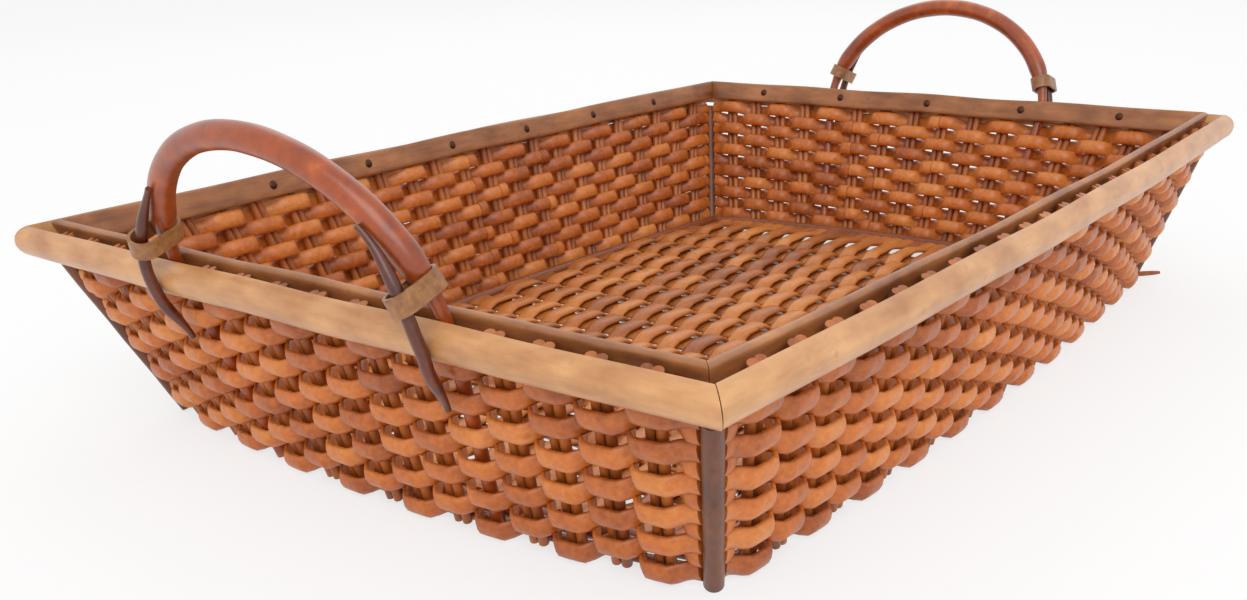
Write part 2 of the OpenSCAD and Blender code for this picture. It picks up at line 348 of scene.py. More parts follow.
@dataclass(frozen=True)
class Wall:
    """One wall of the tray."""

    tray: Tray
    side: Side

    @property
    def name(self) -> str:
        """The wall's part of a node's name."""
        return self.side.word

    @property
    def is_end(self) -> bool:
        """True for a short wall."""
        return self.side.value[0]

    @property
    def tilt(self) -> float:
        """The wall's outward lean."""
        return self.tray.end_tilt if self.is_end else self.tray.side_tilt

    def _turn(self, v: Vector) -> Vector:
        """Mirrors a vector of the +X or +Y wall to this wall."""
        s = -1 if self.side.value[1] else 1
        return Vector((v.x * s, v.y, v.z)) if self.is_end else Vector((v.x, v.y * s, v.z))

    def point(self, u: float, z: float, a: float, mitre: float = 0) -> Vector:
        """A wall point.

        Args:
            u: place along the wall, 0 to 1.
            z: height on the line of stakes.
            a: distance out of the wall.
            mitre: 1 if the point moves along the wall at the corners.

        Returns:
            The point in the CAD frame.
        """
        t, step, out = self.tray, mitre * a, a * math.cos(self.tilt)
        low = z - a * math.sin(self.tilt)
        if self.is_end:
            return self._turn(Vector((t.half_len(z) + t.end_bow(z) * bow(u) + out,
                                      (2 * u - 1) * (t.half_wid(z) + step * math.cos(t.side_tilt)),
                                      low)))
        return self._turn(Vector(((2 * u - 1) * (t.half_len(z) + step * math.cos(t.end_tilt)),
                                  t.half_wid(z) + t.side_bow(z) * bow(u) + out, low)))

    def level(self, z: float, a: float) -> float:
        """The height on the line of stakes whose point at offset a lies at height z."""
        return z + a * math.sin(self.tilt)

    @property
    def out(self) -> Vector:
        """Direction out of the wall."""
        c, s = math.cos(self.tilt), math.sin(self.tilt)
        return self._turn(Vector((c, 0, -s) if self.is_end else (0, c, -s)))

    @property
    def up(self) -> Vector:
        """Direction up the wall."""
        c, s = math.cos(self.tilt), math.sin(self.tilt)
        return self._turn(Vector((s, 0, c) if self.is_end else (0, s, c)))

    @property
    def places(self) -> list[float]:
        """Where the stakes, and the legs of a handle, stand along the wall.

        Returns:
            Their places from 0 to 1.
        """
        t = self.tray
        if not self.is_end:
            n = round(t.top_len / t.stake_pitch)
            return [i / n for i in range(1, n)]
        mid = round(t.handle_span / t.stake_pitch)
        outer = round((t.top_wid - t.handle_span) / 2 / t.stake_pitch)
        leg = t.leg_u
        return ([leg * i / outer for i in range(1, outer + 1)]
                + [lerp(leg, 1 - leg, i / mid) for i in range(1, mid + 1)]
                + [lerp(1 - leg, 1, i / outer) for i in range(1, outer)])

    def is_leg(self, u: float) -> bool:
        """True where a handle's leg stands in a stake's place."""
        return self.is_end and abs(abs(u - 0.5) - (0.5 - self.tray.leg_u)) < SAME_PLACE

    def length(self, z: float) -> float:
        """Length along the wall at a height."""
        return 2 * (self.tray.half_wid(z) if self.is_end else self.tray.half_len(z))


# Shader maths


class Shader:
    """A material's node tree with a short way to add nodes."""

    def __init__(self, material: bpy.types.Material) -> None:
        """Starts from an empty tree.

        Args:
            material: the material or world.
        """
        material.use_nodes = True
        self.tree = material.node_tree
        self.tree.nodes.clear()

    def node(self, kind: str, settings: dict[str, Any] | None = None,
             **values: Any) -> bpy.types.Node:
        """Adds a node."""
        return add_node(self.tree, kind, settings, values)

    def get(self, kind: str, output: str | int = 0, settings: dict[str, Any] | None = None,
            **values: Any) -> Signal:
        """Adds a node and gives one of its outputs, by name or index."""
        return Signal(self, self.node(kind, settings, **values).outputs[output])

    def mix(self, factor: Signal, a: Signal | Colour, b: Colour) -> Signal:
        """Mixes two colours, with all of the first at factor 0."""
        return self.get("ShaderNodeMix", 2, {"data_type": "RGBA"}, i0=factor, i6=a, i7=b)


class Signal:
    """A socket that takes part in arithmetic."""

    def __init__(self, shader: Shader, socket: bpy.types.NodeSocket) -> None:
        """Wraps a socket."""
        self.shader, self.socket = shader, socket

    def _math(self, operation: str, a: Any, b: Any) -> Signal:
        """Adds a Math node."""
        return self.shader.get("ShaderNodeMath", 0, {"operation": operation}, i0=a, i1=b)

    def __add__(self, other: Any) -> Signal:
        """self + other."""
        return self._math("ADD", self, other)

    def __mul__(self, other: Any) -> Signal:
        """self * other."""
        return self._math("MULTIPLY", self, other)

    def __sub__(self, other: Any) -> Signal:
        """self - other."""
        return self._math("SUBTRACT", self, other)

    def __rsub__(self, other: Any) -> Signal:
        """other - self."""
        return self._math("SUBTRACT", other, self)

    __radd__ = __add__
    __rmul__ = __mul__


@dataclass(frozen=True)
class Willow:
    """A finish of willow or split wood: three tones, streaks, mottling and a sheen."""

    name: str
    dark: Colour
    tone: Colour
    light: Colour
    roughness: float = 0.42
    coat: float = 0.15
    stretch: Triple = (1.0, 1.0, 1.0)
    grain: float = 420.0
    bump: float = 0.00035
    grain_detail: float = 4.0
    grain_rough: float = 0.6
    patch_scale: float = 38.0
    patch_detail: float = 3.0
    scar_scale: float = 95.0
    scar_depth: float = 0.55
    scar_edge: tuple[float, float] = (0.02, 0.16)
    rod_share: float = 0.34
    streak_share: float = 0.55
    patch_share: float = 0.62
    tone_shift: float = 0.32
    tone_stops: Triple = (0.12, 0.48, 0.86)
    rough_swing: float = 0.22
    bump_strength: float = 0.6
    coat_roughness: float = 0.28

    def build(self) -> bpy.types.Material:
        """Makes the material.

        Returns:
            The material.
        """
        material = bpy.data.materials.new(self.name)
        s = Shader(material)
        place = s.get("ShaderNodeTexCoord", "Object")
        stretched = s.get("ShaderNodeMapping", Vector=place, Scale=self.stretch)
        rod = s.get("ShaderNodeAttribute", "Fac", {"attribute_name": "rod"})
        streak = s.get("ShaderNodeTexNoise", "Fac", Vector=stretched, Scale=self.grain,
                       Detail=self.grain_detail, Roughness=self.grain_rough)
        patch = s.get("ShaderNodeTexNoise", "Fac", Vector=place, Scale=self.patch_scale,
                      Detail=self.patch_detail)
        tone = (rod * self.rod_share + streak * self.streak_share + patch * self.patch_share
                - self.tone_shift)
        stops = list(zip(self.tone_stops, (self.dark, self.tone, self.light)))
        colour = s.get("ShaderNodeValToRGB", "Color", {"stops": stops}, i0=tone)
        scar = s.get("ShaderNodeTexVoronoi", "Distance", Vector=place, Scale=self.scar_scale)
        mark = s.get("ShaderNodeMapRange", Value=scar, i1=self.scar_edge[0],
                     i2=self.scar_edge[1], i3=self.scar_depth, i4=0.0)
        colour = s.mix(mark, colour, self.dark)
        rough = streak * self.rough_swing + (self.roughness - self.rough_swing / 2)
        normal = s.get("ShaderNodeBump", Height=streak, Strength=self.bump_strength,
                       Distance=self.bump)
        shader = s.get("ShaderNodeBsdfPrincipled", Base_Color=colour, Roughness=rough,
                       Normal=normal, Coat_Weight=self.coat, Coat_Roughness=self.coat_roughness)
        s.node("ShaderNodeOutputMaterial", Surface=shader)
        return material


@dataclass(frozen=True)
class DarkIron:
    """The finish of the tack heads."""

    name: str = "tack_iron"
    dark: Colour = rgb(46, 34, 30)
    light: Colour = rgb(104, 62, 40)
    rust_scale: float = 900.0
    rust_detail: float = 3.0
    rough_low: float = 0.35
    rough_swing: float = 0.3
    metal: float = 0.8

    def build(self) -> bpy.types.Material:
        """Makes the material.

        Returns:
            The material.
        """
        material = bpy.data.materials.new(self.name)
        s = Shader(material)
        place = s.get("ShaderNodeTexCoord", "Object")
        rust = s.get("ShaderNodeTexNoise", "Fac", Vector=place, Scale=self.rust_scale,
                     Detail=self.rust_detail)
        colour = s.mix(rust, self.dark, self.light)
        shader = s.get("ShaderNodeBsdfPrincipled", Base_Color=colour,
                       Roughness=rust * self.rough_swing + self.rough_low, Metallic=self.metal)
        s.node("ShaderNodeOutputMaterial", Surface=shader)
        return material


class Finish(Enum):
    """Every finish on the basket."""

    WALL = Willow("wall_weaver_willow", rgb(144, 66, 18), rgb(200, 110, 40), rgb(228, 152, 78))
    FLOOR = Willow("base_weaver_willow", rgb(136, 68, 18), rgb(192, 110, 36), rgb(222, 148, 70),
                   stretch=(0.12, 1.0, 1.0), grain=700.0)
    STICK = Willow("cross_stick_willow", rgb(108, 52, 14), rgb(170, 96, 36), rgb(204, 130, 66))
    STAKE = Willow("stake_willow", rgb(115, 53, 16), rgb(175, 96, 36), rgb(205, 130, 66),
                   stretch=(1.0, 1.0, 0.15))
    BAR = Willow("base_bar_willow", rgb(85, 35, 9), rgb(141, 69, 24), rgb(184, 104, 44))
    # The corner posts' dark brown tones are painted shade: they make each corner read as a
    # shadowed, recessed gap between the walls.
    POST = Willow("corner_post_bark", rgb(56, 24, 9), rgb(112, 58, 24), rgb(160, 96, 50),
                  stretch=(1.0, 1.0, 0.15))
    RIM = Willow("rim_lath_wood", rgb(176, 118, 70), rgb(220, 165, 110), rgb(242, 198, 144),
                 roughness=0.38, coat=0.35, stretch=(0.2, 0.2, 1.0), grain=260.0, bump=0.0002)
    # The inner laths use the rim laths' wood in darker tones. The darkening is painted shade for
    # their faces, which sit in shadow inside the rim.
    INNER = Willow("inner_lath_wood", rgb(128, 76, 42), rgb(186, 124, 74), rgb(222, 166, 110),
                   stretch=(0.2, 0.2, 1.0), grain=260.0)
    HANDLE = Willow("handle_rod_varnish", rgb(98, 32, 8), rgb(163, 73, 22), rgb(220, 132, 64),
                    roughness=0.34, coat=0.4, grain=160.0)
    STRAND = Willow("handle_strand_varnish", rgb(54, 16, 5), rgb(102, 40, 13), rgb(158, 78, 32),
                    roughness=0.36, coat=0.4)
    BINDING = Willow("binding_split", rgb(128, 82, 44), rgb(186, 132, 82), rgb(222, 178, 126))
    TACK = DarkIron()


# Rods by geometry nodes


class RodTree:
    """The node tree that turns lines into solid rods.

    Each point of a line carries the directions and half sizes of the rod's
    section, so the tree places every point of the section by itself. The
    ring that the tree sweeps only counts the points round the rod.
    """

    ring_r: float = 0.001

    def __init__(self) -> None:
        """Builds the tree."""
        self.tree = bpy.data.node_groups.new("rods_along_lines", "GeometryNodeTree")
        self.tree.is_modifier = True
        face = self.tree.interface
        face.new_socket(name="Lines", in_out="INPUT", socket_type="NodeSocketGeometry")
        self.sides = face.new_socket(name="Sides", in_out="INPUT",
                                     socket_type="NodeSocketInt").identifier
        self.material = face.new_socket(name="Material", in_out="INPUT",
                                        socket_type="NodeSocketMaterial").identifier
        face.new_socket(name="Rods", in_out="OUTPUT", socket_type="NodeSocketGeometry")
        self._fill()

    def _add(self, kind: str, settings: dict[str, Any] | None = None,
             **links: Any) -> bpy.types.Node:
        """Adds a node."""
        return add_node(self.tree, kind, settings, links)

    def _read(self, name: str, kind: str) -> bpy.types.NodeSocket:
        """Reads a named attribute."""
        made = self._add("GeometryNodeInputNamedAttribute", {"data_type": kind}, Name=name)
        return next(q for q in made.outputs if q.enabled)

    def _fill(self) -> None:
        """Adds the nodes and links."""
        start = self._add("NodeGroupInput")
        line = self._add("GeometryNodeMeshToCurve", Mesh=start.outputs["Lines"])
        place = self._add("GeometryNodeInputPosition")
        kept = self._add("GeometryNodeStoreNamedAttribute",
                         {"data_type": "FLOAT_VECTOR", "domain": "POINT"}, Geometry=line.outputs[0],
                         Name="middle", Value=place.outputs[0])
        ring = self._add("GeometryNodeCurvePrimitiveCircle", Resolution=start.outputs["Sides"],
                         Radius=self.ring_r)
        turn = self._add("GeometryNodeSplineParameter")
        angle = self._add("ShaderNodeMath", {"operation": "MULTIPLY"},
                          i0=turn.outputs["Factor"], i1=2 * math.pi)
        ring_kept = self._add("GeometryNodeStoreNamedAttribute",
                              {"data_type": "FLOAT", "domain": "POINT"}, Geometry=ring.outputs[0],
                              Name="turn", Value=angle.outputs[0])
        tube = self._add("GeometryNodeCurveToMesh", Curve=kept.outputs[0],
                         Profile_Curve=ring_kept.outputs[0], Fill_Caps=True)
        around = self._read("turn", "FLOAT")
        place = self._read("middle", "FLOAT_VECTOR")
        for direction, size, wave_name in (("out_dir", "thick", "COSINE"),
                                           ("up_dir", "high", "SINE")):
            part = self._add("ShaderNodeMath", {"operation": wave_name}, i0=around)
            reach = self._add("ShaderNodeMath", {"operation": "MULTIPLY"}, i0=part.outputs[0],
                              i1=self._read(size, "FLOAT"))
            move = self._add("ShaderNodeVectorMath", {"operation": "SCALE"},
                             i0=self._read(direction, "FLOAT_VECTOR"), Scale=reach.outputs[0])
            moved = self._add("ShaderNodeVectorMath", {"operation": "ADD"},
                              i0=place, i1=move.outputs[0])
            place = moved.outputs[0]
        placed = self._add("GeometryNodeSetPosition", Geometry=tube.outputs[0], Position=place)
        soft = self._add("GeometryNodeSetShadeSmooth", Geometry=placed.outputs[0])
        real = self._add("GeometryNodeRealizeInstances", Geometry=soft.outputs[0])
        done = self._add("GeometryNodeSetMaterial", Geometry=real.outputs[0],
                         Material=start.outputs["Material"])
        end = self.tree.nodes.new("NodeGroupOutput")
        self.tree.links.new(done.outputs[0], end.inputs[0])


@dataclass
class Line:
    """The middle line of one rod, with its section at each point."""

    points: list[Vector]
    outs: list[Vector]
    ups: list[Vector]
    thick: list[float]
    high: list[float]
    shade: float


@dataclass
class Workshop:
    """Holds the finishes and the rod tree, and turns shapes into dressed pieces."""

    tree: RodTree = field(default_factory=RodTree)
    finishes: dict[Finish, bpy.types.Material] = field(default_factory=dict)
    sharp: float = math.radians(50)

    def finish(self, which: Finish) -> bpy.types.Material:
        """The material of a finish, built once.

        Args:
            which: the finish.

        Returns:
            The material.
        """
        if which not in self.finishes:
            self.finishes[which] = which.value.build()
        return self.finishes[which]

    def _close(self, mesh: bpy.types.Mesh) -> None:
        """Turns every face outward.

        Args:
            mesh: a closed mesh.
        """
        work = bmesh.new()
        work.from_mesh(mesh)
        bmesh.ops.recalc_face_normals(work, faces=work.faces)
        work.to_mesh(mesh)
        work.free()

    def _claim(self, piece: bpy.types.Object, nodes: Sequence[str]) -> None:
        """Rides the piece on the body and says which CAD nodes it stands for.

        Args:
            piece: the piece.
            nodes: the CAD nodes that it replaces.
        """
        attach(piece, BODY)
        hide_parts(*nodes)
        LOG.info("%s stands for %d node(s), %d faces", piece.name, len(nodes),
                 len(piece.data.polygons))

    def rods(self, name: str, lines: Sequence[Line], finish: Finish, slot: str,
             nodes: Sequence[str], sides: int = 10) -> None:
        """Makes one piece of rods that follow lines.

        Args:
            name: the piece's name.
            lines: the rods' middle lines.
            finish: the finish.
            slot: the record's material slot; not used.
            nodes: the CAD nodes that the piece replaces.
            sides: points round a rod.
        """
        points, edges = [], []
        values = {"out_dir": [], "up_dir": [], "thick": [], "high": [], "rod": []}
        for line in lines:
            first = len(points)
            points += [p[:] for p in line.points]
            edges += [(i, i + 1) for i in range(first, len(points) - 1)]
            values["out_dir"] += [c for v in line.outs for c in v]
            values["up_dir"] += [c for v in line.ups for c in v]
            values["thick"] += line.thick
            values["high"] += line.high
            values["rod"] += [line.shade] * len(line.points)
        mesh = bpy.data.meshes.new(name)
        mesh.from_pydata(points, edges, [])
        for key, data in values.items():
            vector = key.endswith("dir")
            layer = mesh.attributes.new(key, "FLOAT_VECTOR" if vector else "FLOAT", "POINT")
            layer.data.foreach_set("vector" if vector else "value", data)
        piece = new_object(name, mesh)
        modifier = piece.modifiers.new("rods", "NODES")
        modifier.node_group = self.tree.tree
        modifier[self.tree.sides] = sides
        modifier[self.tree.material] = self.finish(finish)
        graph = bpy.context.evaluated_depsgraph_get()
        made = bpy.data.meshes.new_from_object(piece.evaluated_get(graph))
        piece.modifiers.remove(modifier)
        piece.data = made
        self._close(made)
        self._claim(piece, nodes)

    def loft(self, name: str, rings: Sequence[Sequence[Vector]], finish: Finish, slot: str,
             nodes: Sequence[str]) -> None:
        """Makes one closed piece through rings of points.

        Args:
            name: the piece's name.
            rings: rings of equally many points, in order along the piece.
            finish: the finish.
            slot: the record's material slot; not used.
            nodes: the CAD nodes that it replaces.
        """
        count = len(rings[0])
        faces = []
        for low in range(0, (len(rings) - 1) * count, count):
            high = low + count
            faces += [(low + j, low + (j + 1) % count, high + (j + 1) % count, high + j)
                      for j in range(count)]
        faces += [tuple(range(count - 1, -1, -1)),
                  tuple((len(rings) - 1) * count + j for j in range(count))]
        mesh = bpy.data.meshes.new(name)
        mesh.from_pydata([p[:] for r in rings for p in r], [], faces)
        self._close(mesh)
        mesh.shade_smooth()
        mesh.set_sharp_from_angle(angle=self.sharp)
        mesh.materials.append(self.finish(finish))
        self._claim(new_object(name, mesh), nodes)

    def dress(self, frame: dict[str, Any], node: str, finish: Finish) -> None:
        """Gives a CAD node that keeps its shape a better material.

        Args:
            frame: the loaded frame.
            node: the CAD node's name.
            finish: the finish.
        """
        solid = frame["nodes"][node]
        meshes = [solid] if solid.type == "MESH" else []
        for part in meshes + [c for c in solid.children if c.type == "MESH"]:
            part.data.materials.clear()
            part.data.materials.append(self.finish(finish))
        LOG.info("%s keeps its CAD shape", node)


def round_line(points: list[Vector], radii: list[float], ref: Vector, shade: float) -> Line:
    """A round rod through points, with its section square to its path.

    Args:
        points: the rod's middle line.
        radii: its radius at each point.
        ref: a direction that the line never runs along.
        shade: its tone, from 0, dark, to 1, light.

    Returns:
        The line.
    """
    outs, ups = [], []
    last = len(points) - 1
    for i in range(last + 1):
        run = (points[min(last, i + 1)] - points[max(0, i - 1)]).normalized()
        side = ref.cross(run).normalized()
        outs.append(side)
        ups.append(run.cross(side))
    return Line(points, outs, ups, radii, radii, shade)


# Sub-assemblies


@dataclass
class Weave:
    """The woven walls: stakes, corner posts and rows of weavers.

    hold is the share of the way between two stakes for which a weaver lies
    flat at each of them. wobble, girth and taper make the weavers uneven, and
    join_shift moves the place where a row's second weaver takes over.
    """

    tray: Tray
    shop: Workshop
    steps: int = 7
    half_t: float = 0.0020
    half_h: float = 0.0041
    pair_r: float = 0.0019
    hold: float = 0.24
    wobble: float = 0.00035
    girth: tuple[float, float] = (0.94, 1.04)
    taper: tuple[float, float] = (1.03, 0.95)
    join_shift: tuple[int, ...] = (0, 2, -1, 1)
    stake_foot: float = 0.002
    stake_head: float = 0.004
    stake_steps: int = 6
    stake_girth: tuple[float, float] = (0.93, 1.0)
    post_foot: float = 0.0018
    post_steps: int = 8
    post_sides: int = 20
    post_sway: float = 0.03
    post_turn: float = 2.1
    post_shade: float = 0.4
    tip_taper: tuple[float, ...] = (1, 1, 0.96, 0.85, 0.6)
    tip_sides: int = 12
    tip_shade: float = 0.2

    @property
    def off(self) -> float:
        """How far a weaver's middle stands off the paired stakes."""
        return self.pair_r + self.half_t + self.tray.seat

    def _rod(self, wall: Wall, k: int, stops: list[tuple[float, float]],
             dice: random.Random) -> Line:
        """One weaver of a wall.

        Args:
            wall: the wall.
            k: its row, counted from 0 at the foot.
            stops: the (place along the wall, offset) that it passes through.
            dice: the row's random numbers.

        Returns:
            The weaver's line.
        """
        z = self.tray.row_z(k)
        points, girth = [], []
        lifts = [dice.uniform(-self.wobble, self.wobble) for _ in stops]
        scale = dice.uniform(*self.girth)
        for i in range(len(stops) - 1):
            (u0, a0), (u1, a1) = stops[i], stops[i + 1]
            for j in range(self.steps + (i == len(stops) - 2)):
                s = j / self.steps
                turn = held_wave(s, self.hold)
                points.append(wall.point(lerp(u0, u1, s), z + lerp(lifts[i], lifts[i + 1], turn),
                                         lerp(a0, a1, turn)))
                girth.append(scale * lerp(*self.taper, i / len(stops)))
        n = len(points)
        return Line(points, [wall.out] * n, [wall.up] * n, [self.half_t * g for g in girth],
                    [self.half_h * g for g in girth], dice.random())

    def row(self, k: int) -> None:
        """Makes one row of weavers round the tray.

        Args:
            k: the row, counted from 0 at the foot.
        """
        t, dice, lines = self.tray, random.Random(SEED + k), []
        for side in Side:
            wall = Wall(t, side)
            row, z = wall.places, t.row_z(k)
            mid = len(row) // 2 + self.join_shift[k % len(self.join_shift)]
            join = mid if (mid + k) % 2 == 1 else mid + 1
            end_gap = (t.post_r + 2 * t.seat) / wall.length(z)
            gap = t.seat / wall.length(z)
            offs = [-self.off if (i + k) % 2 == 1 else self.off for i in range(len(row))]
            stops = list(zip(row, offs))
            first = [(end_gap, 0.0)] + stops[:join] + [(row[join] - gap, offs[join])]
            second = [(row[join] + gap, offs[join])] + stops[join + 1:] + [(1 - end_gap, 0.0)]
            lines += [self._rod(wall, k, part, dice) for part in (first, second)]
        self.shop.rods(f"row_{k + 1}_weavers", lines, Finish.WALL, "wall_weaver",
                       [f"weaver_row_{k + 1}"])

    def stakes(self, side: Side) -> None:
        """Makes the stakes of one wall, two thin rods side by side at each place.

        Args:
            side: the wall's side.
        """
        wall, dice, lines = Wall(self.tray, side), random.Random(SEED), []
        head = self.tray.rim_z + self.stake_head
        heights = [lerp(self.stake_foot, head, i / self.stake_steps)
                   for i in range(self.stake_steps + 1)]
        for u in wall.places:
            if wall.is_leg(u):
                continue
            for beside in (-1, 1):
                points = [wall.point(u + beside * self.pair_r / wall.length(z), z, 0)
                          for z in heights]
                radii = [self.pair_r * dice.uniform(*self.stake_girth) for _ in heights]
                lines.append(round_line(points, radii, wall.out, dice.random()))
        self.shop.rods(f"{wall.name}_stake_rods", lines, Finish.STAKE, "stake",
                       [f"{wall.name}_stakes"])

    def post(self, long_wall: LongWall, end: End) -> None:
        """Makes a corner post.

        Args:
            long_wall: the long wall at the corner.
            end: the short end at the corner.
        """
        t = self.tray
        places = range(self.post_steps + 1)
        heights = [lerp(self.post_foot, t.rows[1] - t.post_r, i / self.post_steps) for i in places]
        points = [Vector((end.value * t.half_len(z), long_wall.value * t.half_wid(z), z))
                  for z in heights]
        radii = [t.post_r * (1 - self.post_sway + self.post_sway * math.sin(i * self.post_turn))
                 for i in places]
        line = round_line(points, radii, ACROSS, self.post_shade)
        corner = f"{long_wall.word}_{end.word}"
        self.shop.rods(f"{corner}_post_rod", [line], Finish.POST, "corner_post",
                       [f"{corner}_corner_post"], self.post_sides)

    def tip(self) -> None:
        """Makes the weaver end left long at the front far foot corner."""
        t = self.tray
        z = t.post_r
        out = Vector((1, -1, 0)).normalized()
        post = Vector((t.half_len(z), -t.half_wid(z), z))
        last = len(self.tip_taper) - 1
        spans = [lerp(t.post_r + 2 * t.seat, t.tip_len, i / last) for i in range(last + 1)]
        line = round_line([post + out * s for s in spans], [t.tip_r * g for g in self.tip_taper],
                          UP, self.tip_shade)
        self.shop.rods("loose_tip_rod", [line], Finish.STAKE, "wall_weaver",
                       ["loose_weaver_tip"], self.tip_sides)

    def build(self) -> None:
        """Makes every piece of the walls."""
        for k in range(self.tray.row_count):
            self.row(k)
        for side in Side:
            self.stakes(side)
        for long_wall in LongWall:
            for end in End:
                self.post(long_wall, end)
        self.tip()


@dataclass
class Base:
    """The woven base: bars round its edge, cross sticks and weavers.

    bow_used is the share of the bars' bow that the outermost weavers may fill.
    close widens a weaver until it meets its neighbours.
    """

    tray: Tray
    shop: Workshop
    steps: int = 8
    bow_used: float = 0.9
    sides: int = 14
    bar_steps: int = 24
    bar_shade: float = 0.4
    stick_steps: int = 12
    stick_r: float = 0.0018
    stick_flat: float = 0.97
    stick_wide: float = 0.0088
    stick_spread: tuple[float, float] = (0.95, 1.0)
    weaver_spread: tuple[float, float] = (0.99, 1.02)
    weaver_half_t: float = 0.0017
    off: float = 0.00345
    close: float = 1.32
    hold: float = 0.2

    def bars(self, side: Side) -> None:
        """Makes the thick bar and the thin foot rod of one wall.

        Args:
            side: the wall's side.
        """
        t, wall, lines = self.tray, Wall(self.tray, side), []
        n = self.bar_steps + 1
        for z, a, r in ((t.bar_z, t.bar_a, t.bar_r),
                        (t.foot_rod_r + t.seat, t.foot_rod_a, t.foot_rod_r)):
            line_z = wall.level(z, a)
            gap = t.seat / wall.length(line_z)
            points = [wall.point(lerp(gap, 1 - gap, i / self.bar_steps), line_z, a, 1)
                      for i in range(n)]
            lines.append(Line(points, [wall.out] * n, [wall.up] * n, [r] * n, [r] * n,
                              self.bar_shade))
        self.shop.rods(f"{wall.name}_base_bars", lines, Finish.BAR, "base_frame",
                       [f"{wall.name}_base_rods"], self.sides)

    def _inner(self) -> tuple[float, float]:
        """The room between the base bars at the corners, where they don't bow out.

        Returns:
            Half of it along X and along Y.
        """
        t = self.tray
        a = t.bar_a - t.bar_r - t.seat
        end, side = (wall.point(0, wall.level(t.bar_z, a), a)
                     for wall in (Wall(t, Side.FAR_END), Wall(t, Side.BACK)))
        return end.x, side.y

    @property
    def stick_pitch(self) -> float:
        """From one cross stick to the next."""
        return 2 * self._inner()[0] / (self.tray.stick_count + 1)

    def sticks(self) -> None:
        """Makes all cross sticks as one piece of flat laths."""
        t, dice, lines = self.tray, random.Random(SEED), []
        inner_y = self._inner()[1]
        for i in range(t.stick_count):
            x = (i - (t.stick_count - 1) / 2) * self.stick_pitch
            u = (x / t.half_len(t.bar_z) + 1) / 2
            reach = inner_y + t.side_bow(t.bar_z) * bow(u) - t.seat
            points = [Vector((x, lerp(-reach, reach, j / self.stick_steps), t.base_z))
                      for j in range(self.stick_steps + 1)]
            n = len(points)
            wide = [self.stick_wide * dice.uniform(*self.stick_spread) for _ in points]
            lines.append(Line(points, [UP] * n, [ALONG] * n,
                              [self.stick_r * self.stick_flat] * n, wide, dice.random()))
        self.shop.rods("base_cross_sticks", lines, Finish.STICK, "cross_stick",
                       [f"cross_stick_{i + 1}" for i in range(t.stick_count)], self.sides)

    def _weaver(self, j: int, dice: random.Random) -> Line:
        """One base weaver.

        Args:
            j: its place, counted from the middle.
            dice: the random numbers.

        Returns:
            The weaver's line.
        """
        t = self.tray
        inner_x, inner_y = self._inner()
        middle = (t.stick_count - 1) // 2
        step = t.base_step
        y = abs(j) * step + t.base_weaver_w / 2
        u = (y / t.half_wid(t.bar_z) + 1) / 2
        reach = inner_x + t.end_bow(t.bar_z) * bow(u) - t.seat
        over = max(0.0, (y + t.seat - inner_y) / t.side_bow(t.bar_z))
        if over > 0:
            reach = min(reach, t.half_len(t.bar_z) * math.sqrt(max(0, 1 - over)) - t.base_flat)
        stops = [(-reach, 0.0)]
        for i in range(t.stick_count):
            x = (i - middle) * self.stick_pitch
            if abs(x) + t.base_flat / 2 < reach:
                stops.append((x, -self.off if (i - middle + j) % 2 == 0 else self.off))
        stops.append((reach, 0.0))
        points = []
        for i in range(len(stops) - 1):
            (x0, z0), (x1, z1) = stops[i], stops[i + 1]
            for s in range(self.steps + (i == len(stops) - 2)):
                share = s / self.steps
                turn = held_wave(share, self.hold)
                points.append(Vector((lerp(x0, x1, share), j * step,
                                      t.base_z + lerp(z0, z1, turn))))
        n, wide = len(points), step / 2 * self.close * dice.uniform(*self.weaver_spread)
        return Line(points, [UP] * n, [ACROSS] * n, [self.weaver_half_t] * n, [wide] * n,
                    dice.random())

    def weavers(self, odd: bool) -> None:
        """Makes every second base weaver.

        Args:
            odd: True for those an odd number of places from the middle.
        """
        t, dice = self.tray, random.Random(SEED + odd)
        room = self._inner()[1] + t.side_bow(t.bar_z) * self.bow_used - t.seat - t.base_weaver_w / 2
        n = math.floor(room / t.base_step)
        lines = [self._weaver(j, dice) for j in range(-n, n + 1) if abs(j) % 2 == odd]
        word = "odd" if odd else "even"
        self.shop.rods(f"{word}_base_rods", lines, Finish.FLOOR, "base_weaver",
                       [f"{word}_base_weavers"])

    def build(self) -> None:
        """Makes every piece of the base."""
        for side in Side:
            self.bars(side)
        self.sticks()
        for odd in (False, True):
            self.weavers(odd)


